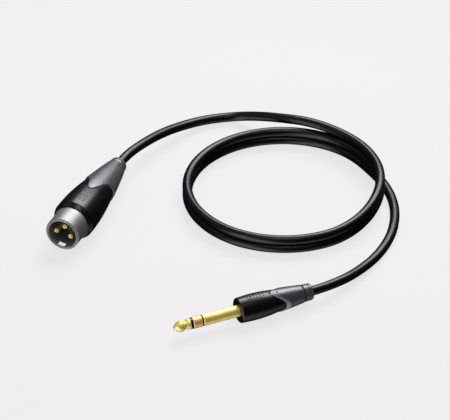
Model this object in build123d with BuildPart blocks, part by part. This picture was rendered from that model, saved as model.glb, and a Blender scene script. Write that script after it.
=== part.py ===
from build123d import *
import math
import os

# A balanced microphone lead, coiled for storage: a male three pin XLR connector, two turns of
# round cable and a 6.35 mm stereo jack plug. Millimetres, +Z up, everything lies on Z = 0.
# The XLR's open mouth faces -Y. The origin is under the middle of the two connectors' box.

# ---- cable ----
CABLE_D = 5.2
CABLE_R = CABLE_D / 2
CORE_R = 0.65

# ---- XLR connector, stations measured backwards from the rim of its mouth ----
XLR_MOUTH = (-65.1, -12.7)
XLR_HEADING = 90.4
XLR_ROLL = 10.0
XLR_LENGTH = 73.0
XLR_MAX_R = 11.5
SHELL_R = 9.5
SHELL_TAIL_R = 9.25
SHELL_BORE_R = 8.55
SHELL_LIP_R = 8.05
SHELL_LIP = 0.8
SHELL_END = 21.0
INSERT_FACE = 14.5
XLR_BODY_FRONT = 12.3
XLR_BODY_END = 68.3
XLR_RING_FRONT = 68.8
XLR_SPIGOT_END = 58.0
WINDOW_WIDTH = 4.3
WINDOW_FRONT = 1.1
SKIRT_WINDOW_END = 4.2
SHELL_WINDOW_END = 5.6
PIN_R = 1.2
PIN_SEAT_R = 1.55
PIN_TIP = 1.3
PIN_CIRCLE_R = 4.2
PIN_ANGLES = {"1": 98.0, "2": -98.0, "3": 0.0}
CUP_R = 1.45
CUP_BORE_R = 0.95
CUP_FLOOR = 24.0
CUP_END = 28.0
XLR_CABLE_START = 48.0
XLR_SEAM = [(0, 31.1), (1.4, 32.1), (3.0, 36.0), (4.4, 40.2), (6.0, 43.6), (7.6, 45.8), (12.0, 47.6)]

# ---- jack plug, stations measured backwards from the nose of its tip ----
JACK_NOSE = (21.4, -60.3)
JACK_HEADING = 48.7
JACK_ROLL = 9.0
JACK_LENGTH = 78.9
JACK_MAX_R = 7.1
PLUG_R = 3.175
PLUG_NECK_R = 3.0
ROD_R = 1.0
FRONT_TUBE_R = 1.5
RING_TUBE_R = 2.0
REAR_TUBE_R = 2.4
TIP_END = 9.2
RING_FRONT = 10.6
RING_END = 15.7
SLEEVE_FRONT = 16.5
JACK_BODY_FRONT = 37.0
FLANGE_FRONT = 38.0
FLANGE_END = 39.6
FLANGE_R = 4.6
JACK_BODY_END = 73.7
JACK_RING_FRONT = 74.3
JACK_RING_SEAT = 72.5
JACK_SPIGOT_END = 68.5
JACK_CABLE_START = 58.6
JACK_SEAM = [(0, 54.2), (1.2, 54.8), (2.6, 56.3), (4.4, 58.8), (6.0, 61.4), (8.0, 63.6)]

SEAM_GAP = 0.5
SEAM_BEVEL = 0.4

# ---- the cable's route: two leads from a least-squares fit, and two turns worked out ----
COIL_CENTRE = (21.5, 82.9)
COIL_R = 51.9
COIL_LEVELS = 2
TOP_LEVEL_Z = 2.5 * CABLE_D
TOP_START_DEG = 86.0
TOP_SWEEP_DEG = 100.0

os.makedirs("parts", exist_ok=True)


def connector_plane(front, heading, roll):
    """Local X is sideways, local Y runs from the mouth back to the cable, local Z is the marked top."""
    back = Vector(1, 0, 0).rotate(Axis.Z, heading)
    top = Vector(0, 0, 1).rotate(Axis((0, 0, 0), (back.X, back.Y, back.Z)), roll)
    return Plane(origin=front, x_dir=back.cross(top), z_dir=top)


XLR = connector_plane((*XLR_MOUTH, XLR_MAX_R), XLR_HEADING, XLR_ROLL)
JACK = connector_plane((*JACK_NOSE, JACK_MAX_R), JACK_HEADING, JACK_ROLL)


def beside(plane, angle, radius):
    """The same plane moved sideways, angle turning from the marked top towards local X."""
    turn = math.radians(angle)
    shift = plane.x_dir * (radius * math.sin(turn)) + plane.z_dir * (radius * math.cos(turn))
    return Plane(origin=plane.origin + shift, x_dir=plane.x_dir, z_dir=plane.z_dir)


def local(plane, x, y, z):
    return plane.from_local_coords(Vector(x, y, z))


def back_axis(plane):
    return Axis(plane.origin, plane.y_dir)


def save(part, name):
    part.label = name
    export_step(part, "parts/" + name + ".step")


def turned(plane, outline):
    """A body of revolution about the plane's local Y, from (radius, station) corners."""
    with BuildPart() as body:
        with BuildSketch(plane):
            with BuildLine():
                Polyline(*outline, close=True)
            make_face()
        revolve(axis=back_axis(plane))
    return body.part


def tube(plane, inner, outer, start, end):
    return turned(plane, [(inner, start), (outer, start), (outer, end), (inner, end)])


def wire(points, radius, bend):
    """A round wire along straight runs joined by arcs."""
    with BuildPart() as run:
        with BuildLine() as path:
            FilletPolyline(*points, radius=bend)
        with BuildSketch(Plane(origin=path.line @ 0, z_dir=path.line % 0)):
            Circle(radius)
        sweep()
    return run.part


def seam_side(plane, seam, gap, reach):
    """Everything behind the wavy seam, drawn from the marked top with the tongue's tip forward."""
    right = [(x, y + gap) for x, y in seam]
    left = [(-x, y) for x, y in reversed(right[1:])]
    depth = 40.0
    with BuildPart() as behind:
        with BuildSketch(plane):
            with BuildLine():
                Spline(*left, *right)
                Polyline(
                    right[-1], (right[-1][0], right[-1][1] + depth), (left[0][0], left[0][1] + depth),
                    left[0],
                )
            make_face()
        extrude(amount=reach, both=True)
    return behind.part


def seam_edges(body):
    """The two long outer edges of a rear body's wavy front."""
    return body.edges().filter_by(GeomType.BSPLINE).sort_by(SortBy.LENGTH)[-2:]


# ------------------------------------------------------------------ XLR connector

XLR_OUTER = [(XLR_MAX_R, 15.3), (11.35, 24.0), (10.25, 36.0), (8.35, 48.0), (5.6, 62.0)]
XLR_REAR = [(11.6, 24.0), (10.65, 36.0), (9.0, 48.0), (6.6, 62.0), (5.35, XLR_BODY_END)]
XLR_SPIGOT = [(9.3, 29.0), (5.2, XLR_SPIGOT_END)]
XLR_CAVITY = [(7.6, 31.0), (4.3, XLR_SPIGOT_END)]
XLR_TAIL_R = 3.9


def xlr_shell():
    """Plated steel tube with a rolled rim, and the latch window opposite the marked top."""
    with BuildPart() as shell:
        with BuildSketch(XLR):
            with BuildLine():
                Polyline(
                    (SHELL_LIP_R, 0.45), (SHELL_LIP_R, SHELL_LIP), (SHELL_BORE_R, SHELL_LIP),
                    (SHELL_BORE_R, SHELL_END), (SHELL_TAIL_R, SHELL_END),
                    (SHELL_TAIL_R, XLR_BODY_FRONT), (SHELL_R, XLR_BODY_FRONT), (SHELL_R, 0.6),
                )
                RadiusArc((SHELL_R, 0.6), (SHELL_R - 0.6, 0), -0.6)
                Line((SHELL_R - 0.6, 0), (SHELL_LIP_R + 0.45, 0))
                RadiusArc((SHELL_LIP_R + 0.45, 0), (SHELL_LIP_R, 0.45), -0.45)
            make_face()
        revolve(axis=back_axis(XLR))
        add(window_cutter(SHELL_WINDOW_END), mode=Mode.SUBTRACT)
    save(shell.part, "xlr_shell")


def window_cutter(end):
    """The latch window: a block below the axis, longer in the shell than in the insert's skirt."""
    with BuildPart() as cutter:
        with BuildSketch(XLR):
            with Locations((0, (WINDOW_FRONT + end) / 2)):
                RectangleRounded(WINDOW_WIDTH, end - WINDOW_FRONT, 0.4)
        extrude(amount=-XLR_MAX_R)
    return cutter.part


def xlr_insert():
    """Black insulator: a skirt that lines the shell, and the disc that holds the pins."""
    with BuildPart() as insert:
        with BuildSketch(XLR):
            with BuildLine():
                Polyline(
                    (0, INSERT_FACE), (SHELL_LIP_R, INSERT_FACE), (SHELL_LIP_R, SHELL_LIP),
                    (SHELL_BORE_R, SHELL_LIP), (SHELL_BORE_R, SHELL_END), (0, SHELL_END),
                    close=True,
                )
            make_face()
        revolve(axis=back_axis(XLR))
        add(window_cutter(SKIRT_WINDOW_END), mode=Mode.SUBTRACT)
        for angle in PIN_ANGLES.values():
            hole = tube(beside(XLR, angle, PIN_CIRCLE_R), 0, PIN_SEAT_R, INSERT_FACE - 1, SHELL_END + 1)
            add(hole, mode=Mode.SUBTRACT)
    save(insert.part, "xlr_insert")


def xlr_pins():
    """Three round contacts with domed tips in front and solder cups behind."""
    dome = 0.7
    for name, angle in PIN_ANGLES.items():
        seat = beside(XLR, angle, PIN_CIRCLE_R)
        with BuildPart() as pin:
            with BuildSketch(seat):
                with BuildLine():
                    Line((0, PIN_TIP), (PIN_R - dome, PIN_TIP))
                    RadiusArc((PIN_R - dome, PIN_TIP), (PIN_R, PIN_TIP + dome), dome)
                    Polyline(
                        (PIN_R, PIN_TIP + dome), (PIN_R, INSERT_FACE), (PIN_SEAT_R, INSERT_FACE),
                        (PIN_SEAT_R, SHELL_END), (CUP_R, SHELL_END),
                        (CUP_R, CUP_END), (CUP_BORE_R, CUP_END), (CUP_BORE_R, CUP_FLOOR),
                        (0, CUP_FLOOR), (0, PIN_TIP),
                    )
                make_face()
            revolve(axis=back_axis(seat))
        save(pin.part, "xlr_pin_" + name)


def xlr_ground_ring():
    """Thin ring on the shell's rear edge with an arm to the cup of pin 1."""
    thick = 0.4
    seat = beside(XLR, PIN_ANGLES["1"], PIN_CIRCLE_R)
    face = Plane(origin=local(XLR, 0, SHELL_END, 0), x_dir=XLR.x_dir, z_dir=XLR.y_dir)
    turn = 90.0 - PIN_ANGLES["1"]
    with BuildPart() as ring:
        with BuildSketch(face):
            Circle(8.95)
            Circle(7.7, mode=Mode.SUBTRACT)
            with PolarLocations(6.3, 1, start_angle=-turn):
                Rectangle(3.6, 2.4)
        extrude(amount=thick)
        add(tube(seat, 0, CUP_R, SHELL_END - 1, CUP_END), mode=Mode.SUBTRACT)
    save(ring.part, "xlr_ground_ring")


def xlr_front_body():
    """Black moulded housing with a bevelled front lip, and a spigot under the rear body."""
    with BuildPart() as body:
        with BuildSketch(XLR):
            with BuildLine():
                Polyline((SHELL_TAIL_R, XLR_BODY_FRONT), (9.9, XLR_BODY_FRONT), (11.15, 14.3))
                RadiusArc((11.15, 14.3), XLR_OUTER[0], -1.6)
                Spline(*XLR_OUTER, tangents=((0, 1), (-2.0, 10)))
                Polyline(
                    XLR_OUTER[-1], (XLR_SPIGOT[-1][0], 62.0), XLR_SPIGOT[-1], XLR_CAVITY[-1],
                    XLR_CAVITY[0], (7.6, SHELL_END + 0.4), (9.0, SHELL_END + 0.4),
                    (9.0, SHELL_END), (SHELL_TAIL_R, SHELL_END), (SHELL_TAIL_R, XLR_BODY_FRONT),
                )
            make_face()
        revolve(axis=back_axis(XLR))
        add(xlr_seam_zone(), mode=Mode.SUBTRACT)
    save(body.part, "xlr_front_body")


def xlr_seam_zone():
    """The room that the rear body takes from the front body, outside the spigot."""
    first, last = XLR_SPIGOT
    with BuildPart() as zone:
        add(turned(XLR, [first, (14.0, first[1]), (14.0, 64.0), (0, 64.0), (0, last[1]), last]))
        add(seam_side(XLR, XLR_SEAM, 0.0, 16.0), mode=Mode.INTERSECT)
    return zone.part


def xlr_rear_body():
    """Grey tapered rear housing with two long tongues, slightly proud of the front body."""
    with BuildPart() as body:
        with BuildSketch(XLR):
            with BuildLine():
                Spline(*XLR_REAR)
                Polyline(
                    XLR_REAR[-1], (XLR_TAIL_R, XLR_BODY_END), (XLR_TAIL_R, XLR_SPIGOT_END),
                    XLR_SPIGOT[-1], XLR_SPIGOT[0], (XLR_SPIGOT[0][0], XLR_REAR[0][1]), XLR_REAR[0],
                )
            make_face()
        revolve(axis=back_axis(XLR))
        add(seam_side(XLR, XLR_SEAM, SEAM_GAP, 16.0), mode=Mode.INTERSECT)
        chamfer(seam_edges(body), SEAM_BEVEL)
    save(body.part, "xlr_rear_body")


def xlr_end_ring():
    """Small collar at the cable's exit, with one fine groove round it."""
    ring = turned(XLR, [
        (CABLE_R, 66.0), (XLR_TAIL_R, 66.0), (XLR_TAIL_R, XLR_RING_FRONT), (5.05, XLR_RING_FRONT),
        (4.9, 70.4), (4.5, 70.5), (4.5, 70.9), (4.8, 71.0), (4.55, XLR_LENGTH - 0.5),
        (4.2, XLR_LENGTH), (CABLE_R, XLR_LENGTH),
    ])
    save(ring, "xlr_end_ring")


def chuck(plane, start, end, outer, flange, name):
    """Split clamp round the cable: a tube with a flange and four slots from its front end."""
    slot = 1.1
    slot_end = 9.0
    with BuildPart() as clamp:
        add(turned(plane, [
            (CABLE_R, start), (outer, start), (outer, start + 2.5), (flange, start + 3.0),
            (flange, start + 5.5), (outer, start + 6.0), (outer, end), (CABLE_R, end),
        ]))
        for turn in (0, 90):
            face = Plane(origin=plane.origin, x_dir=plane.x_dir, z_dir=plane.z_dir)
            if turn:
                face = Plane(origin=plane.origin, x_dir=-plane.z_dir, z_dir=plane.x_dir)
            with BuildSketch(face):
                with Locations((0, start + slot_end / 2)):
                    Rectangle(slot, slot_end)
            extrude(amount=8.0, both=True, mode=Mode.SUBTRACT)
    save(clamp.part, name)


def xlr_wires():
    """Screen, hot and cold: from the cable's cut end forward into the three cups."""
    names = {"1": "xlr_wire_screen", "2": "xlr_wire_hot", "3": "xlr_wire_cold"}
    for pin, name in names.items():
        turn = math.radians(PIN_ANGLES[pin])
        near = (1.25 * math.sin(turn), 1.25 * math.cos(turn))
        far = (PIN_CIRCLE_R * math.sin(turn), PIN_CIRCLE_R * math.cos(turn))
        points = [
            local(XLR, near[0], XLR_CABLE_START, near[1]),
            local(XLR, near[0], XLR_CABLE_START - 5.0, near[1]),
            local(XLR, far[0], CUP_END + 5.0, far[1]),
            local(XLR, far[0], CUP_FLOOR, far[1]),
        ]
        save(wire(points, CORE_R, 6.0), name)


# ------------------------------------------------------------------ jack plug

JACK_OUTER = [(6.75, 37.3), (JACK_MAX_R, 45.0), (6.52, 55.0), (5.83, 60.0), (4.4, 70.0)]
JACK_REAR = [(7.4, 49.0), (6.75, 56.0), (5.8, 66.0), (4.87, JACK_BODY_END)]
JACK_SPIGOT = [(5.75, 49.6), (4.2, JACK_SPIGOT_END)]
JACK_CAVITY = [(5.2, 48.6), (3.55, JACK_SPIGOT_END)]
JACK_TAIL_R = 3.5
WASHER = 1.0
LUG = 0.5
LUG_TAB = (2.0, 6.5)


def jack_tip():
    """Gold tip with its neck, on a rod that runs through the plug to a riveted head."""
    rear_head = FLANGE_END + 2 * WASHER + 2 * LUG
    with BuildPart() as tip:
        with BuildSketch(JACK):
            with BuildLine():
                ThreePointArc((0, 0), (0.95, 0.3), (1.6, 1.0))
                ThreePointArc((1.6, 1.0), (2.6, 2.3), (PLUG_R, 4.2))
                ThreePointArc((PLUG_R, 4.2), (2.95, 4.9), (2.5, 5.6))
                ThreePointArc((2.5, 5.6), (2.25, 6.5), (2.6, 7.4))
                Polyline(
                    (2.6, 7.4), (2.9, 8.2), (2.9, TIP_END), (ROD_R, TIP_END),
                    (ROD_R, rear_head), (1.5, rear_head), (1.5, rear_head + 0.6),
                    (0, rear_head + 0.6), (0, 0),
                )
            make_face()
        revolve(axis=back_axis(JACK))
    save(tip.part, "jack_tip")


def jack_contacts():
    """The coaxial pieces of the plug between the tip and the handle."""
    front_tube_end = FLANGE_END + 2 * WASHER + LUG
    ring_tube_end = FLANGE_END + WASHER + LUG
    rear_tube_end = FLANGE_END + WASHER
    save(turned(JACK, [
        (ROD_R, TIP_END), (2.95, TIP_END), (2.95, RING_FRONT), (FRONT_TUBE_R, RING_FRONT),
        (FRONT_TUBE_R, front_tube_end), (ROD_R, front_tube_end),
    ]), "jack_insulator_front")
    save(turned(JACK, [
        (FRONT_TUBE_R, RING_FRONT), (PLUG_R - 0.2, RING_FRONT), (PLUG_R, RING_FRONT + 0.2),
        (PLUG_R, RING_END - 0.2), (PLUG_R - 0.2, RING_END), (RING_TUBE_R, RING_END),
        (RING_TUBE_R, ring_tube_end), (FRONT_TUBE_R, ring_tube_end),
    ]), "jack_ring")
    save(turned(JACK, [
        (RING_TUBE_R, RING_END), (2.95, RING_END), (2.95, SLEEVE_FRONT),
        (REAR_TUBE_R, SLEEVE_FRONT), (REAR_TUBE_R, rear_tube_end), (RING_TUBE_R, rear_tube_end),
    ]), "jack_insulator_rear")
    save(tube(JACK, REAR_TUBE_R, 3.75, FLANGE_END, rear_tube_end), "jack_washer_ring")
    save(tube(JACK, FRONT_TUBE_R, 3.1, ring_tube_end, front_tube_end), "jack_washer_tip")


def jack_sleeve():
    """Gold sleeve with its flange, and the long arm that clamps the cable's screen."""
    arm_width = 2.6
    clamp_r = CABLE_R + 0.6
    clamp = (JACK_CABLE_START + 0.5, JACK_CABLE_START + 4.0)
    with BuildPart() as sleeve:
        add(turned(JACK, [
            (REAR_TUBE_R, SLEEVE_FRONT), (PLUG_R - 0.2, SLEEVE_FRONT),
            (PLUG_R, SLEEVE_FRONT + 0.2), (PLUG_R, JACK_BODY_FRONT),
            (PLUG_NECK_R, JACK_BODY_FRONT), (PLUG_NECK_R, FLANGE_FRONT), (FLANGE_R, FLANGE_FRONT),
            (FLANGE_R, FLANGE_END), (REAR_TUBE_R, FLANGE_END),
        ]))
        arm = Plane(origin=local(JACK, 0, 0, -4.4), x_dir=JACK.x_dir, z_dir=JACK.z_dir)
        with BuildSketch(arm):
            with Locations((0, (FLANGE_END + clamp[0] - 4.0) / 2 - 0.1)):
                Rectangle(arm_width, clamp[0] - 4.0 - FLANGE_END + 0.2)
        extrude(amount=0.6)
        with BuildSketch(Plane(origin=JACK.origin, x_dir=-JACK.z_dir, z_dir=JACK.x_dir)):
            with BuildLine():
                Polyline(
                    (4.4, clamp[0] - 4.2), (3.8, clamp[0] - 4.2), (CABLE_R, clamp[0] + 0.2),
                    (CABLE_R, clamp[0] + 1.0), (clamp_r, clamp[0] + 1.0), (clamp_r, clamp[0] + 0.2),
                    close=True,
                )
            make_face()
        extrude(amount=arm_width / 2, both=True)
        add(tube(JACK, 0, CABLE_R, clamp[0] - 6.0, clamp[1] + 1.0), mode=Mode.SUBTRACT)
        add(tube(JACK, CABLE_R, clamp_r, *clamp))
    save(sleeve.part, "jack_sleeve")


def jack_lug(name, inner, outer, start, side):
    """Flat solder lug: a washer on its tube, with a tab bent back along the plug."""
    face = Plane(origin=local(JACK, 0, start, 0), x_dir=JACK.x_dir, z_dir=JACK.y_dir)
    with BuildPart() as lug:
        with BuildSketch(face):
            Circle(outer)
            Circle(inner, mode=Mode.SUBTRACT)
        extrude(amount=LUG)
        with BuildSketch(face):
            with Locations((side * (outer - LUG / 2), 0)):
                Rectangle(LUG, LUG_TAB[0])
        extrude(amount=LUG_TAB[1])
    save(lug.part, name)


def jack_front_body():
    """Black handle with a flat front, and a spigot under the rear body."""
    with BuildPart() as body:
        with BuildSketch(JACK):
            with BuildLine():
                Polyline((PLUG_NECK_R, JACK_BODY_FRONT), (6.45, JACK_BODY_FRONT), JACK_OUTER[0])
                Spline(*JACK_OUTER, tangents=((0.7, 10), (-1.4, 10)))
                Polyline(
                    JACK_OUTER[-1], (JACK_SPIGOT[-1][0], 70.0), JACK_SPIGOT[-1], JACK_CAVITY[-1],
                    JACK_CAVITY[0], (5.2, FLANGE_END), (FLANGE_R, FLANGE_END),
                    (FLANGE_R, FLANGE_FRONT), (PLUG_NECK_R, FLANGE_FRONT),
                    (PLUG_NECK_R, JACK_BODY_FRONT),
                )
            make_face()
        revolve(axis=back_axis(JACK))
        add(jack_seam_zone(), mode=Mode.SUBTRACT)
    save(body.part, "jack_front_body")


def jack_seam_zone():
    """The room that the rear body takes from the handle, outside the spigot."""
    first, last = JACK_SPIGOT
    with BuildPart() as zone:
        add(turned(JACK, [first, (9.0, first[1]), (9.0, 72.0), (0, 72.0), (0, last[1]), last]))
        add(seam_side(JACK, JACK_SEAM, 0.0, 12.0), mode=Mode.INTERSECT)
    return zone.part


def jack_rear_body():
    """Grey tapered rear of the handle with its two tongues."""
    with BuildPart() as body:
        with BuildSketch(JACK):
            with BuildLine():
                Spline(*JACK_REAR)
                Polyline(
                    JACK_REAR[-1], (JACK_TAIL_R, JACK_BODY_END), (JACK_TAIL_R, JACK_SPIGOT_END),
                    JACK_SPIGOT[-1], JACK_SPIGOT[0], (JACK_SPIGOT[0][0], JACK_REAR[0][1]),
                    JACK_REAR[0],
                )
            make_face()
        revolve(axis=back_axis(JACK))
        add(seam_side(JACK, JACK_SEAM, SEAM_GAP, 12.0), mode=Mode.INTERSECT)
        chamfer(seam_edges(body), SEAM_BEVEL)
    save(body.part, "jack_rear_body")


def jack_end_ring():
    """Collar at the jack's cable exit, with one fine groove round it."""
    ring = turned(JACK, [
        (CABLE_R, JACK_RING_SEAT), (JACK_TAIL_R, JACK_RING_SEAT), (JACK_TAIL_R, JACK_RING_FRONT),
        (4.7, JACK_RING_FRONT), (4.6, 76.6), (4.25, 76.7), (4.25, 77.1), (4.55, 77.2),
        (4.48, JACK_LENGTH - 0.5), (4.15, JACK_LENGTH), (CABLE_R, JACK_LENGTH),
    ])
    save(ring, "jack_end_ring")


def jack_wires():
    """Hot to the tip's lug, cold to the ring's lug, screen to the sleeve's arm."""
    ends = {
        "jack_wire_hot": ((1.3, 0.0), (1.8, 47.1, 0.0)),
        "jack_wire_cold": ((-1.3, 0.3), (-2.5, 45.6, 0.0)),
        "jack_wire_screen": ((0.0, -1.3), (0.0, 48.6, -3.1)),
    }
    for name, (near, far) in ends.items():
        points = [
            local(JACK, near[0], JACK_CABLE_START, near[1]),
            local(JACK, near[0], JACK_CABLE_START - 3.0, near[1]),
            local(JACK, far[0], far[1] + 3.0, far[2]),
            local(JACK, *far),
        ]
        save(wire(points, CORE_R, 3.0), name)


# ------------------------------------------------------------------ cable

XLR_EXIT = local(XLR, 0, XLR_LENGTH, 0)
JACK_EXIT = local(JACK, 0, JACK_LENGTH, 0)


def on_coil(angle, radius, z):
    turn = math.radians(angle)
    return Vector(
        COIL_CENTRE[0] + radius * math.cos(turn), COIL_CENTRE[1] + radius * math.sin(turn), z
    )


LANDING = on_coil(TOP_START_DEG, COIL_R, TOP_LEVEL_Z)
LANDING_RUN = 14.0
XLR_LEAD = [
    XLR_EXIT,
    XLR_EXIT + Vector(9.0, 0, 0).rotate(Axis.Z, XLR_HEADING),
    Vector(-62.8, 84.4, 10.7),
    Vector(-59.1, 100.9, 8.5),
    Vector(-53.6, 115.9, 5.8),
    Vector(-45.2, 130.2, 3.5),
    Vector(-31.5, 140.2, 3.3),
    Vector(-15.6, 138.9, 8.4),
    Vector(1.9, 136.8, 12.5),
    LANDING + Vector(-LANDING_RUN, 0, 0).rotate(Axis.Z, TOP_START_DEG - 90.0),
    LANDING,
]
JACK_LEAD = [
    on_coil(50.0, COIL_R - 0.2, CABLE_R),
    Vector(62.9, 116.9, CABLE_R),
    Vector(71.1, 109.3, CABLE_R),
    Vector(79.5, 98.1, CABLE_R),
    Vector(85.5, 85.4, CABLE_R),
    Vector(89.3, 72.0, CABLE_R),
    Vector(90.7, 58.1, CABLE_R),
    Vector(89.9, 44.1, 2.8),
    Vector(87.3, 30.2, 3.9),
    Vector(84.4, 17.5, 5.8),
    JACK_EXIT + Vector(5.5, 0, 0).rotate(Axis.Z, JACK_HEADING),
    JACK_EXIT,
]


def corner_radii(points):
    """Each arc as large as its two runs allow."""
    radii = []
    for before, corner, after in zip(points, points[1:], points[2:]):
        first = corner - before
        second = after - corner
        half_turn = math.radians(first.get_angle(second)) / 2
        radii.append(0.45 * min(first.length, second.length) / math.tan(half_turn))
    return radii


def lead(points, name):
    """One round tube along straight runs and tangent arcs."""
    radii = corner_radii(points)
    with BuildPart() as run:
        with BuildLine() as path:
            FilletPolyline(*points, radius=radii)
        with BuildSketch(Plane(origin=path.line @ 0, z_dir=path.line % 0)):
            Circle(CABLE_R)
        sweep()
    length = path.wire().length
    expected = math.pi * CABLE_R**2 * length
    print(name, "radii", [round(r, 1) for r in radii])
    print(name, "length", round(length, 1), "volume ratio", round(run.part.volume / expected, 4))
    save(run.part, name)


def stadium(height):
    """The outline of cables stacked one on another, seen end on, in (radius, z)."""
    inner = COIL_R - CABLE_R
    outer = COIL_R + CABLE_R
    Line((inner, CABLE_R), (inner, height - CABLE_R))
    ThreePointArc((inner, height - CABLE_R), (COIL_R, height), (outer, height - CABLE_R))
    Line((outer, height - CABLE_R), (outer, CABLE_R))
    ThreePointArc((outer, CABLE_R), (COIL_R, 0), (inner, CABLE_R))


def cable_coil():
    """The outer shape of two stacked turns, three high where the XLR lead lies on top."""
    centre = (*COIL_CENTRE, 0)
    low = Plane(origin=centre, x_dir=(1, 0, 0), z_dir=(0, -1, 0))
    start = Vector(1, 0, 0).rotate(Axis.Z, TOP_START_DEG)
    high = Plane(origin=centre, x_dir=start, z_dir=start.cross(Vector(0, 0, 1)))
    with BuildPart() as coil:
        with BuildSketch(low):
            with BuildLine():
                stadium(COIL_LEVELS * CABLE_D)
            make_face()
        revolve(axis=Axis(centre, (0, 0, 1)))
        with BuildSketch(high):
            with BuildLine():
                stadium((COIL_LEVELS + 1) * CABLE_D)
            make_face()
        revolve(axis=Axis(centre, (0, 0, -1)), revolution_arc=TOP_SWEEP_DEG)
    save(coil.part, "cable_coil")


def build_xlr():
    xlr_shell()
    xlr_insert()
    xlr_pins()
    xlr_ground_ring()
    xlr_front_body()
    xlr_rear_body()
    xlr_end_ring()
    chuck(XLR, 50.0, 66.0, 3.8, 4.4, "xlr_chuck")
    save(tube(XLR, 0, CABLE_R, XLR_CABLE_START, XLR_LENGTH), "xlr_cable_tail")
    xlr_wires()


def build_jack():
    jack_tip()
    jack_contacts()
    jack_sleeve()
    jack_lug("jack_lug_ring", RING_TUBE_R, 3.7, FLANGE_END + WASHER, -1)
    jack_lug("jack_lug_tip", ROD_R, 3.0, FLANGE_END + 2 * WASHER + LUG, 1)
    jack_front_body()
    jack_rear_body()
    jack_end_ring()
    save(tube(JACK, 4.75, 5.15, FLANGE_END + 0.2, JACK_CAVITY[0][1]), "jack_liner")
    save(tube(JACK, CABLE_R, JACK_TAIL_R - 0.2, 65.4, JACK_RING_SEAT), "jack_chuck")
    save(tube(JACK, 0, CABLE_R, JACK_CABLE_START, JACK_LENGTH), "jack_cable_tail")
    jack_wires()


build_xlr()
build_jack()
lead(XLR_LEAD, "cable_xlr_lead")
cable_coil()
lead(JACK_LEAD, "cable_jack_lead")
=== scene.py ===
import math

import bmesh
import bpy
from mathutils import Matrix, Vector


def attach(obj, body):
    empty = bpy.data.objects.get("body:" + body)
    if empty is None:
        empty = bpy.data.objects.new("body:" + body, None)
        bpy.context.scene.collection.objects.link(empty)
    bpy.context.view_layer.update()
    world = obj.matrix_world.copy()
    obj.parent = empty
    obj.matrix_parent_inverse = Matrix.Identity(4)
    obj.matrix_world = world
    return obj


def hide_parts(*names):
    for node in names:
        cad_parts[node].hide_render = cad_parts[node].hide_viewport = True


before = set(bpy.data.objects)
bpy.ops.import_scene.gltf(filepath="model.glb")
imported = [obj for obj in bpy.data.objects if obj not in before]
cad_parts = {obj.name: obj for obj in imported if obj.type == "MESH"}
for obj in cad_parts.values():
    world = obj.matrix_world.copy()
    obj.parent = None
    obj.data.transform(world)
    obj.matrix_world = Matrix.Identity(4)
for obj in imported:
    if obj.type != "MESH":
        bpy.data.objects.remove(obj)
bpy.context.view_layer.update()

MM = 0.001

# ------------------------------------------------------------------ driving values, in millimetres

CABLE_D = 5.2
LEVELS_ABOVE_FLOOR = 2

# the cable's route, out of the XLR connector, round two turns and back to the jack plug;
# the points of both leads are from a least-squares fit, as in part.py
XLR_LEAD = [
    (-62.8, 84.4, 10.7), (-59.1, 100.9, 8.5), (-53.6, 115.9, 5.8), (-45.2, 130.2, 3.5),
    (-31.5, 140.2, 3.3), (-15.6, 138.9, 8.4), (1.9, 136.8, 12.5),
]
JACK_LEAD = [
    (62.9, 116.9, 2.6), (71.1, 109.3, 2.6), (79.5, 98.1, 2.6), (85.5, 85.4, 2.6),
    (89.3, 72.0, 2.6), (90.7, 58.1, 2.6), (89.9, 44.1, 2.8), (87.3, 30.2, 3.9),
    (84.4, 17.5, 5.8),
]
COIL_CENTRE = (21.5, 82.9)
COIL_R = 51.9
COIL_START = 86.0
COIL_SWEEP = 740.0
POINTS_PER_TURN = 18
DROP_STARTS = (62.0, 422.0)
DROP_SWEEP = 60.0
LANDING_RUN = 14.0
# where the XLR lead lands, the top turn starts a little outside the others
LANDING_OUTSET = 1.2
LANDING_SWEEP = 25.0
XLR_EXIT_RUN = 9.0
JACK_EXIT_RUN = 5.5

# outlines as (station, radius) pairs, the station measured back along the axis
XLR_BLACK = [(15.3, 11.5), (24.0, 11.35), (36.0, 10.25), (48.0, 8.35), (62.0, 5.6)]
XLR_GREY = [(24.0, 11.6), (36.0, 10.65), (48.0, 9.0), (62.0, 6.6), (68.3, 5.35)]
JACK_BLACK = [(37.3, 6.75), (45.0, 7.1), (55.0, 6.52), (60.0, 5.83), (70.0, 4.4)]
JACK_GREY = [(49.0, 7.4), (56.0, 6.75), (66.0, 5.8), (73.7, 4.87)]
JACK_SPIGOT = [(49.6, 5.75), (68.5, 4.2)]
JACK_TAIL_R = 3.5
# the jack's wavy seam in plan view, as (distance from the axis, station)
JACK_SEAM = [
    (-2.6, 56.3), (-1.2, 54.8), (0, 54.2), (1.2, 54.8),
    (2.6, 56.3), (4.4, 58.8), (6.0, 61.4), (8.0, 63.6),
]
SEAM_GAP = 0.5


class Axle:
    """A connector's own frame: stations run back along its axis, angles turn from its marked top."""

    def __init__(self, front, heading, roll, length):
        self.front = Vector(front)
        self.back = Vector((math.cos(heading), math.sin(heading), 0))
        self.top = Matrix.Rotation(roll, 3, self.back) @ Vector((0, 0, 1))
        self.side = self.back.cross(self.top)
        self.exit = self.at(length)

    def at(self, station, angle=0.0, radius=0.0):
        """A point of the row frame, in millimetres."""
        across = self.side * math.sin(angle) + self.top * math.cos(angle)
        return self.front + self.back * station + across * radius


JACK_HEADING = math.radians(48.7)
XLR = Axle((-65.1, -12.7, 11.5), math.radians(90.4), math.radians(10), 73.0)
JACK = Axle((21.4, -60.3, 7.1), JACK_HEADING, math.radians(9), 78.9)

# ------------------------------------------------------------------ camera, floor and lights

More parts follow.
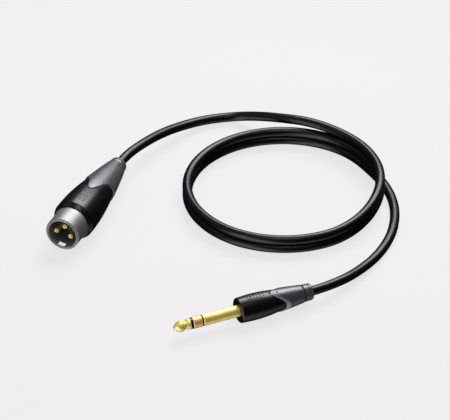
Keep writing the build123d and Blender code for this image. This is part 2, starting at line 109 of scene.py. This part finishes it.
VIEW_AZIMUTH = math.radians(24.0)
VIEW_ELEVATION = math.radians(34.5)
VIEW_DISTANCE = 3.0
VIEW_TARGET = Vector((-2.34, 58.82, 0)) * MM
MM_PER_PIXEL = 0.537
FRAME_WIDTH = 450
SENSOR = 36.0


def towards(azimuth, elevation):
    """A unit vector from the object, azimuth 0 towards -Y, turning towards +X."""
    flat = math.cos(elevation)
    return Vector((math.sin(azimuth) * flat, -math.cos(azimuth) * flat, math.sin(elevation)))


def make_camera():
    back = towards(VIEW_AZIMUTH, VIEW_ELEVATION)
    data = bpy.data.cameras.new("camera")
    data.sensor_width = SENSOR
    data.lens = SENSOR * VIEW_DISTANCE / (FRAME_WIDTH * MM_PER_PIXEL * MM)
    data.clip_start = 0.1
    data.clip_end = 60.0
    camera = bpy.data.objects.new("camera", data)
    camera.location = VIEW_TARGET + back * VIEW_DISTANCE
    camera.rotation_mode = "QUATERNION"
    camera.rotation_quaternion = (-back).to_track_quat("-Z", "Y")
    bpy.context.scene.collection.objects.link(camera)
    bpy.context.scene.camera = camera


def area_light(name, azimuth, elevation, distance, size, radiance, color=(1, 1, 1)):
    """A softbox that faces the object; radiance is its brightness, floor white being about 0.85."""
    data = bpy.data.lights.new(name, "AREA")
    data.shape = "RECTANGLE"
    data.size, data.size_y = size
    data.energy = radiance * math.pi * size[0] * size[1]
    data.color = color
    lamp = bpy.data.objects.new(name, data)
    back = towards(math.radians(azimuth), math.radians(elevation))
    lamp.location = Vector((10, 50, 0)) * MM + back * distance
    lamp.rotation_mode = "QUATERNION"
    lamp.rotation_quaternion = (-back).to_track_quat("-Z", "Y")
    bpy.context.scene.collection.objects.link(lamp)


def make_lights():
    area_light("softbox_back", 184, 50, 1.3, (1.0, 0.7), 12.0)
    area_light("softbox_left", -70, 40, 1.4, (0.6, 0.6), 0.8)
    area_light("fill_front", 20, 60, 2.0, (1.6, 1.6), 0.3)
    area_light("top_front", 24, 70, 1.5, (0.5, 0.5), 5.0)
    area_light("fill_mouth", -20, 15, 1.5, (0.5, 0.5), 5.0)


UNDER_LEVEL = 0.02
SKY_LEVEL = 0.05
# soft reflectors: direction, the cosines where each starts and is full, and its level
UNDER_GLOWS = {
    "gold": ((0.6, -0.2, -0.75), 0.85, 0.98, 0.7),
    "front": ((-0.2, -0.88, -0.42), 0.82, 0.97, 3.6),
    "low": ((0.17, -0.38, -0.906), 0.88, 0.99, 1.0),
}


def make_world():
    """A dim studio: a grey sky, darkness under the horizon, and a few soft low reflectors."""
    world = bpy.data.worlds.new("studio")
    world.use_nodes = True
    tree = world.node_tree
    ray = tree.nodes.new("ShaderNodeTexCoord").outputs["Generated"]

    def glow(direction, start, end, low, high):
        dot = tree.nodes.new("ShaderNodeVectorMath")
        dot.operation = "DOT_PRODUCT"
        dot.inputs[1].default_value = Vector(direction).normalized()
        tree.links.new(ray, dot.inputs[0])
        ramp = tree.nodes.new("ShaderNodeMapRange")
        ramp.interpolation_type = "SMOOTHSTEP"
        ramp.inputs["From Min"].default_value = start
        ramp.inputs["From Max"].default_value = end
        ramp.inputs["To Min"].default_value = low
        ramp.inputs["To Max"].default_value = high
        tree.links.new(dot.outputs["Value"], ramp.inputs["Value"])
        return ramp.outputs["Result"]

    total = glow((0, 0, 1), -0.12, 0.12, UNDER_LEVEL, SKY_LEVEL)
    for direction, start, end, high in UNDER_GLOWS.values():
        add = tree.nodes.new("ShaderNodeMath")
        add.operation = "ADD"
        tree.links.new(total, add.inputs[0])
        tree.links.new(glow(direction, start, end, 0.0, high), add.inputs[1])
        total = add.outputs["Value"]
    background = tree.nodes["Background"]
    background.inputs["Color"].default_value = (1, 0.985, 1.01, 1)
    tree.links.new(total, background.inputs["Strength"])
    bpy.context.scene.world = world


FLOOR_COLOR = (0.855, 0.838, 0.863, 1)
FLOOR_HALF = 30.0


def make_floor():
    """A plain pale floor: it takes soft shadows near the object and is evenly bright beyond."""
    mesh = bpy.data.meshes.new("floor")
    signs = ((-1, -1), (1, -1), (1, 1), (-1, 1))
    corners = [(FLOOR_HALF * x, FLOOR_HALF * y, 0) for x, y in signs]
    mesh.from_pydata(corners, [], [(0, 1, 2, 3)])
    floor = bpy.data.objects.new("floor", mesh)
    floor.visible_glossy = False
    bpy.context.scene.collection.objects.link(floor)
    material = bpy.data.materials.new("floor_paper")
    material.use_nodes = True
    tree = material.node_tree
    tree.nodes.clear()
    output = tree.nodes.new("ShaderNodeOutputMaterial")
    mix = tree.nodes.new("ShaderNodeMixShader")
    diffuse = tree.nodes.new("ShaderNodeBsdfDiffuse")
    diffuse.inputs["Color"].default_value = (0.8, 0.79, 0.81, 1)
    glow = tree.nodes.new("ShaderNodeEmission")
    glow.inputs["Color"].default_value = FLOOR_COLOR
    place = tree.nodes.new("ShaderNodeTexCoord")
    length = tree.nodes.new("ShaderNodeVectorMath")
    length.operation = "LENGTH"
    ramp = tree.nodes.new("ShaderNodeMapRange")
    ramp.interpolation_type = "SMOOTHSTEP"
    ramp.inputs["From Min"].default_value = 0.18
    ramp.inputs["From Max"].default_value = 0.42
    ramp.inputs["To Min"].default_value = 0.88
    ramp.inputs["To Max"].default_value = 1.0
    tree.links.new(place.outputs["Object"], length.inputs[0])
    tree.links.new(length.outputs["Value"], ramp.inputs["Value"])
    tree.links.new(ramp.outputs["Result"], mix.inputs["Fac"])
    tree.links.new(diffuse.outputs["BSDF"], mix.inputs[1])
    tree.links.new(glow.outputs["Emission"], mix.inputs[2])
    tree.links.new(mix.outputs["Shader"], output.inputs["Surface"])
    mesh.materials.append(material)


# ------------------------------------------------------------------ materials


class Look:
    """One procedural material, built step by step round a Principled shader."""

    def __init__(self, name, color, roughness, metallic=0.0, specular=0.5):
        self.material = bpy.data.materials.new(name)
        self.material.use_nodes = True
        self.tree = self.material.node_tree
        self.shader = self.tree.nodes["Principled BSDF"]
        self.set("Base Color", (*color, 1))
        self.set("Roughness", roughness)
        self.set("Metallic", metallic)
        self.set("Specular IOR Level", specular)
        self.bump = None

    def set(self, socket, value):
        self.shader.inputs[socket].default_value = value

    def node(self, kind, **inputs):
        made = self.tree.nodes.new(kind)
        for key, value in inputs.items():
            made.inputs[key.replace("_", " ")].default_value = value
        return made

    def link(self, source, target):
        self.tree.links.new(source, target)

    def place(self, scale=(1, 1, 1), turn=0.0):
        """The object's own coordinates, turned about Z and then stretched."""
        coords = self.node("ShaderNodeTexCoord")
        turned = self.node("ShaderNodeMapping", Rotation=(0, 0, turn))
        stretched = self.node("ShaderNodeMapping", Scale=scale)
        self.link(coords.outputs["Object"], turned.inputs["Vector"])
        self.link(turned.outputs["Vector"], stretched.inputs["Vector"])
        return stretched.outputs["Vector"]

    def noise(self, scale, detail=3.0, stretch=(1, 1, 1), turn=0.0):
        texture = self.node("ShaderNodeTexNoise", Scale=scale, Detail=detail)
        self.link(self.place(stretch, turn), texture.inputs["Vector"])
        return texture.outputs["Fac"]

    def spread(self, value, low, high, start=0.3, end=0.7):
        """Maps a texture's middle range onto low to high."""
        ranged = self.node("ShaderNodeMapRange")
        ranged.inputs["From Min"].default_value = start
        ranged.inputs["From Max"].default_value = end
        ranged.inputs["To Min"].default_value = low
        ranged.inputs["To Max"].default_value = high
        self.link(value, ranged.inputs["Value"])
        return ranged.outputs["Result"]

    def vary_roughness(self, value, low, high):
        self.link(self.spread(value, low, high), self.shader.inputs["Roughness"])

    def vary_color(self, value, first, second, start=0.3, end=0.7):
        mix = self.node("ShaderNodeMix")
        mix.data_type = "RGBA"
        mix.inputs[6].default_value = (*first, 1)
        mix.inputs[7].default_value = (*second, 1)
        self.link(self.spread(value, 0.0, 1.0, start, end), mix.inputs[0])
        self.link(mix.outputs[2], self.shader.inputs["Base Color"])

    def add_bump(self, value, height, strength=1.0):
        """height is the real depth of the texture in metres."""
        bump = self.node("ShaderNodeBump", Strength=strength, Distance=height)
        self.link(value, bump.inputs["Height"])
        if self.bump:
            self.link(self.bump.outputs["Normal"], bump.inputs["Normal"])
        self.link(bump.outputs["Normal"], self.shader.inputs["Normal"])
        self.bump = bump


def cable_look():
    """Extruded black PVC: fine satin grain, faint waves along the length, a little handling bloom."""
    look = Look("cable_jacket", (0.0015, 0.0015, 0.002), 0.34, specular=0.3)
    look.vary_color(look.noise(55, 4), (0.001, 0.001, 0.0014), (0.003, 0.003, 0.0035))
    look.vary_roughness(look.noise(180, 4), 0.31, 0.37)
    look.add_bump(look.noise(3200, 2), 0.00001, 0.3)
    look.add_bump(look.noise(130, 2), 0.00006, 0.2)
    return look.material


def black_body_look():
    """Moulded black nylon with a fine spark-eroded grain."""
    look = Look("black_nylon", (0.001, 0.001, 0.0014), 0.33, specular=0.38)
    look.vary_color(look.noise(300, 4), (0.0006, 0.0006, 0.001), (0.0018, 0.0018, 0.0024))
    look.vary_roughness(look.noise(220, 4), 0.30, 0.36)
    look.add_bump(look.noise(4200, 2), 0.00003, 0.45)
    return look.material


def grey_body_look(name, low, high, metallic):
    """Dark grey satin nylon with a slightly pearly sheen from its fine pigment."""
    look = Look(name, high, 0.33, metallic=metallic)
    look.vary_color(look.noise(2600, 3), low, high)
    look.vary_roughness(look.noise(240, 4), 0.31, 0.38)
    look.add_bump(look.noise(3800, 2), 0.00003, 0.35)
    return look.material


def painted_highlight_band_look():
    """Painted highlight along the seam of the jack's rear body: the bevel is coloured a paler grey
    than the body to stand in for the light it catches, and is given a slightly smoother finish.
    """
    look = Look("bevel_painted_highlight", (0.25, 0.245, 0.26), 0.3, metallic=0.3)
    look.vary_color(look.noise(900, 3), (0.22, 0.215, 0.23), (0.28, 0.275, 0.29))
    return look.material


def nickel_look():
    """Satin nickel on a turned tube: fine rings round the axis and small handling marks."""
    look = Look("satin_nickel", (0.25, 0.243, 0.252), 0.54, metallic=0.85)
    rings = look.noise(1.0, 2, (60, 5200, 60))
    look.vary_color(look.noise(90, 5), (0.22, 0.214, 0.222), (0.28, 0.272, 0.282))
    look.vary_roughness(rings, 0.49, 0.60)
    look.add_bump(rings, 0.000012, 0.5)
    look.add_bump(look.noise(700, 3), 0.00002, 0.2)
    return look.material


def gold_look(name, turn, low, high):
    """Gold plate on turned brass: fine rings across the axis, warm patches where it is handled."""
    look = Look(name, high, 0.44, metallic=0.62)
    rings = look.noise(1.0, 2, (5200, 50, 50), turn)
    look.vary_color(look.noise(160, 4), low, high)
    look.vary_roughness(rings, 0.39, 0.49)
    look.add_bump(rings, 0.000005, 0.15)
    look.add_bump(look.noise(420, 2), 0.00001, 0.1)
    return look.material


def insert_painted_light_look():
    """Insulator moulding inside the shell, in a flat charcoal grey that is partly its own dark tone
    and partly painted light, lifted to stand in for the dim light inside the shell's mouth.
    """
    look = Look("insert_plastic", (0.15, 0.145, 0.152), 0.6, specular=0.2)
    look.vary_color(look.noise(400, 3), (0.135, 0.130, 0.137), (0.165, 0.160, 0.168))
    look.add_bump(look.noise(3000, 2), 0.00003, 0.4)
    return look.material


def plain_look(name, first, second, roughness):
    """Inner pieces: moulded or drawn material with fine mottling."""
    look = Look(name, first, roughness)
    look.vary_color(look.noise(500, 3), first, second)
    look.add_bump(look.noise(2600, 2), 0.00002, 0.4)
    return look.material


def paint(material, *nodes):
    for name in nodes:
        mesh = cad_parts[name].data
        mesh.materials.clear()
        mesh.materials.append(material)


def paint_everything():
    gold = gold_look("gold_plate", -JACK_HEADING, (0.95, 0.75, 0.19), (1.0, 0.85, 0.28))
    # painted shade: the pins' gold is a darker copy of the plug's gold plate, dimming the pins inside
    # the shell
    shaded_pin_gold = gold_look("gold_contact_shaded", math.pi / 2, (0.62, 0.44, 0.14), (0.74, 0.55, 0.20))
    ring_gold = gold_look("gold_ring", -JACK_HEADING, (0.88, 0.52, 0.16), (0.96, 0.62, 0.23))
    black = black_body_look()
    # painted light: the XLR and jack rear bodies are one grey nylon in two tones; the XLR copy is
    # painted paler to strengthen its highlight, the jack's copy painted darker as painted shade
    grey = grey_body_look("grey_nylon", (0.148, 0.144, 0.155), (0.182, 0.178, 0.190), 0.65)
    shaded_grey = grey_body_look("grey_nylon_shaded_jack", (0.068, 0.065, 0.075), (0.086, 0.083, 0.094), 0.4)
    cable = cable_look()
    paint(nickel_look(), "xlr_shell", "xlr_ground_ring", "jack_lug_ring", "jack_lug_tip")
    paint(gold, "jack_tip", "jack_sleeve")
    paint(ring_gold, "jack_ring")
    paint(shaded_pin_gold, "xlr_pin_1", "xlr_pin_2", "xlr_pin_3")
    paint(black, "xlr_front_body", "jack_front_body", "jack_insulator_front", "jack_insulator_rear")
    paint(insert_painted_light_look(), "xlr_insert")
    paint(grey, "xlr_rear_body", "xlr_end_ring")
    paint(shaded_grey, "jack_rear_body", "jack_end_ring")
    paint(cable, "xlr_cable_tail", "jack_cable_tail")
    acetal = plain_look("clamp_acetal", (0.74, 0.74, 0.70), (0.80, 0.80, 0.77), 0.5)
    paint(acetal, "xlr_chuck", "jack_chuck", "jack_washer_ring", "jack_washer_tip", "jack_liner")
    red = plain_look("core_red", (0.45, 0.03, 0.03), (0.55, 0.06, 0.05), 0.35)
    paint(red, "xlr_wire_hot", "jack_wire_hot")
    white = plain_look("core_white", (0.72, 0.72, 0.70), (0.8, 0.8, 0.78), 0.35)
    paint(white, "xlr_wire_cold", "jack_wire_cold")
    screen = plain_look("copper_screen", (0.55, 0.27, 0.16), (0.68, 0.36, 0.22), 0.4)
    screen.node_tree.nodes["Principled BSDF"].inputs["Metallic"].default_value = 1.0
    paint(screen, "xlr_wire_screen", "jack_wire_screen")
    return cable, black, shaded_grey


# ------------------------------------------------------------------ cable


def ease(value):
    """0 to 1 with a level start and end."""
    t = min(max(value, 0.0), 1.0)
    return t * t * (3 - 2 * t)


def coil_turns():
    """Control points of the coil, clockwise and downwards from where the XLR lead lands on it."""
    step = 360 / POINTS_PER_TURN
    outset = 1 / math.cos(math.pi / POINTS_PER_TURN)
    points = []
    for i in range(int(COIL_SWEEP / step) + 1):
        swept = i * step
        drop = sum(ease((swept - start) / DROP_SWEEP) for start in DROP_STARTS)
        radius = COIL_R
        if swept < LANDING_SWEEP:
            radius += LANDING_OUTSET * (1 - swept / LANDING_SWEEP)
        turn = math.radians(COIL_START - swept)
        points.append((
            COIL_CENTRE[0] + radius * outset * math.cos(turn),
            COIL_CENTRE[1] + radius * outset * math.sin(turn),
            CABLE_D * (LEVELS_ABOVE_FLOOR + 0.5 - drop),
        ))
    return points


def make_cable(material):
    """The whole cable, from one connector to the other, as one smooth curve."""
    coil = coil_turns()
    start = math.radians(COIL_START)
    landing = Vector(coil[0]) - Vector((math.sin(start), -math.cos(start), 0)) * LANDING_RUN
    points = [XLR.exit, XLR.exit + XLR.back * XLR_EXIT_RUN, *XLR_LEAD, landing, *coil, *JACK_LEAD]
    points += [JACK.exit + JACK.back * JACK_EXIT_RUN, JACK.exit]
    curve = bpy.data.curves.new("cable", "CURVE")
    curve.dimensions = "3D"
    curve.bevel_depth = CABLE_D / 2 * MM
    curve.bevel_resolution = 8
    curve.resolution_u = 12
    spline = curve.splines.new("NURBS")
    spline.points.add(len(points) - 1)
    for place, point in zip(spline.points, points):
        place.co = (*(Vector(point) * MM), 1)
    spline.order_u = 3
    spline.use_endpoint_u = True
    spline.use_smooth = True
    curve.materials.append(material)
    cable = bpy.data.objects.new("cable", curve)
    bpy.context.scene.collection.objects.link(cable)
    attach(cable, "root")
    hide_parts("cable_xlr_lead", "cable_coil", "cable_jack_lead")


# ------------------------------------------------------------------ moulded details


def smooth(table, x):
    """The smooth curve through a table of (x, y) pairs."""
    i = min(max(sum(1 for pair in table if pair[0] <= x) - 1, 0), len(table) - 2)
    (x0, y0), (x1, y1) = table[i], table[i + 1]
    slopes = []
    for k in (i, i + 1):
        before = table[max(k - 1, 0)]
        after = table[min(k + 1, len(table) - 1)]
        slopes.append((after[1] - before[1]) / (after[0] - before[0]) * (x1 - x0))
    t = (x - x0) / (x1 - x0)
    rise = t * t * (3 - 2 * t)
    bend = t * (1 - t) * ((1 - t) * slopes[0] - t * slopes[1])
    return y0 + (y1 - y0) * rise + bend


def mesh_piece(name, columns, closed, material):
    """A smooth mesh piece from equal columns of points in millimetres, each joined to the next."""
    rows = len(columns[0])
    count = len(columns)
    faces = []
    for i in range(count if closed else count - 1):
        for j in range(rows if closed else rows - 1):
            a = i * rows + j
            b = i * rows + (j + 1) % rows
            c = (i + 1) % count * rows + (j + 1) % rows
            d = (i + 1) % count * rows + j
            faces.append((a, b, c, d))
    mesh = bpy.data.meshes.new(name)
    mesh.from_pydata([point * MM for column in columns for point in column], [], faces)
    work = bmesh.new()
    work.from_mesh(mesh)
    bmesh.ops.recalc_face_normals(work, faces=work.faces)
    work.to_mesh(mesh)
    work.free()
    mesh.shade_smooth()
    mesh.materials.append(material)
    piece = bpy.data.objects.new(name, mesh)
    bpy.context.scene.collection.objects.link(piece)
    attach(piece, "root")
    return piece


SPIGOT_TAPER = (JACK_SPIGOT[1][1] - JACK_SPIGOT[0][1]) / (JACK_SPIGOT[1][0] - JACK_SPIGOT[0][0])
JACK_REAR_END = 73.7
JACK_REAR_MOUTH = 4.6
SEAM_RADIUS = 6.45
BAND_WIDTH = 2.3
BAND_DROP = 0.5
BAND_SHARES = (0.0, 0.02, 0.06, 0.25, 0.5, 0.75, 0.92, 1.0, 1.08, 1.2)
JACK_REAR_COLUMNS = 180
# rows of the bevel that take the paler colour: a painted highlight
HIGHLIGHT_BAND_ROWS = (3, 4, 5, 6, 7)


def jack_rear_column(angle):
    """One slice of the jack's grey rear body: its bevelled seam edge, its taper and its inside."""
    spread = abs(math.sin(angle))
    front = smooth(JACK_SEAM, SEAM_RADIUS * spread) + SEAM_GAP
    width = 0.25 + BAND_WIDTH * (1 - math.exp(-spread / 0.5))
    drop = BAND_DROP * min(1.0, 0.35 + spread)
    inner = JACK_SPIGOT[0][1] + (front - JACK_SPIGOT[0][0]) * SPIGOT_TAPER
    column = [(front, inner + 0.02)]
    for share in BAND_SHARES:
        station = front + width * share
        lowered = drop * max(0.0, 1.0 - share) + (0.12 if share == 0 else 0.0)
        column.append((station, smooth(JACK_GREY, station) - lowered))
    rest = front + width * BAND_SHARES[-1]
    for k in range(1, 9):
        station = rest + (73.4 - rest) * k / 8
        column.append((station, smooth(JACK_GREY, station)))
    column.append((73.62, smooth(JACK_GREY, 73.62) - 0.06))
    column += [(JACK_REAR_END, JACK_REAR_MOUTH), (JACK_REAR_END, JACK_TAIL_R)]
    column += [(JACK_SPIGOT[1][0], JACK_TAIL_R), JACK_SPIGOT[1]]
    return [JACK.at(station, angle, radius) for station, radius in column]


def make_jack_rear(material, highlight_band_material):
    """The grey rear body; its long bevel gets a paler, smoother material, the paler colour being a
    painted highlight.
    """
    angles = [math.tau * i / JACK_REAR_COLUMNS for i in range(JACK_REAR_COLUMNS)]
    columns = [jack_rear_column(angle) for angle in angles]
    rear = mesh_piece("jack_rear_shell", columns, True, material)
    rear.data.materials.append(highlight_band_material)
    rows = len(columns[0])
    # the bevel's rows take the paler material: a painted highlight
    for face in rear.data.polygons:
        if face.index % rows in HIGHLIGHT_BAND_ROWS:
            face.material_index = 1
    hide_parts("jack_rear_body")


MARK_SHARES = (0.0, 0.1, 0.25, 0.5, 0.75, 0.9, 1.0)
MARK_SINK = 0.15
RING_COLUMNS = 24
RING_OUTER = 0.3
RING_CREST = 0.15
RING_SINK = 0.1


def raised(name, axle, outline, stations, degrees, height, material):
    """A low rounded mark on a tapered body, its sides sunk a little into it."""
    start, end = stations
    low, high = (math.radians(value) for value in degrees)
    columns = []
    for u in MARK_SHARES:
        column = []
        for v in MARK_SHARES:
            station = start + (end - start) * v
            lift = height if 0 < u < 1 and 0 < v < 1 else -MARK_SINK
            column.append(axle.at(station, low + (high - low) * u, smooth(outline, station) + lift))
        columns.append(column)
    return mesh_piece(name, columns, False, material)


def raised_ring(name, axle, outline, station, degree, radius, height, material):
    """A low raised circle on a tapered body."""
    columns = []
    base = smooth(outline, station)
    foot, crest = (RING_OUTER, -RING_SINK), (RING_CREST, height)
    section = (foot, crest, (-RING_CREST, height), (-RING_OUTER, -RING_SINK))
    for i in range(RING_COLUMNS):
        turn = math.tau * i / RING_COLUMNS
        column = []
        for out, lift in section:
            along = station + (radius + out) * math.cos(turn)
            angle = math.radians(degree) + (radius + out) * math.sin(turn) / base
            column.append(axle.at(along, angle, smooth(outline, along) + lift))
        columns.append(column)
    mesh_piece(name, columns, True, material)


XLR_MARKS = [
    ((18.6, 19.5), (-6, 12)), ((20.4, 21.2), (-6, 12)), ((20.4, 24.0), (-8, -5)),
    ((22.4, 23.2), (-3, 12)), ((24.4, 25.2), (-6, 12)),
]
JACK_MARKS = [
    ((41.8, 42.5), (-14, 10)), ((43.2, 46.0), (-13, -8)), ((43.2, 43.9), (-6, 10)),
    ((45.2, 45.9), (-6, 10)), ((46.8, 49.6), (-13, -8)), ((46.8, 47.5), (-6, 10)),
    ((48.6, 49.3), (-6, 10)), ((50.4, 51.1), (-12, 8)),
]


def make_marks(black):
    """Small generic raised marks on the black bodies; on the grey ones, thin black patches as painted
    shade in small index notches, and a small black dot.
    """
    for number, (stations, degrees) in enumerate(XLR_MARKS):
        raised("xlr_mark_%d" % number, XLR, XLR_BLACK, stations, degrees, 0.15, black)
    raised_ring("xlr_mark_round", XLR, XLR_BLACK, 28.0, 3, 1.4, 0.14, black)
    for number, (stations, degrees) in enumerate(JACK_MARKS):
        raised("jack_mark_%d" % number, JACK, JACK_BLACK, stations, degrees, 0.18, black)
    # painted shade: thin black patches stand for the shade inside small notches on the grey bodies
    raised("xlr_notch_shade", XLR, XLR_GREY, (63.6, 66.4), (20, 27), 0.06, black)
    raised("jack_notch_shade_right", JACK, JACK_GREY, (70.8, 73.0), (25, 33), 0.06, black)
    raised("jack_notch_shade_left", JACK, JACK_GREY, (70.8, 73.0), (-25, -17), 0.06, black)
    raised("jack_dot", JACK, JACK_GREY, (58.2, 59.3), (-3, 7), 0.06, black)


make_camera()
make_lights()
make_world()
make_floor()
cable_material, black_material, shaded_grey_material = paint_everything()
make_cable(cable_material)
make_jack_rear(shaded_grey_material, painted_highlight_band_look())
make_marks(black_material)
bpy.context.scene.view_settings.view_transform = "Standard"
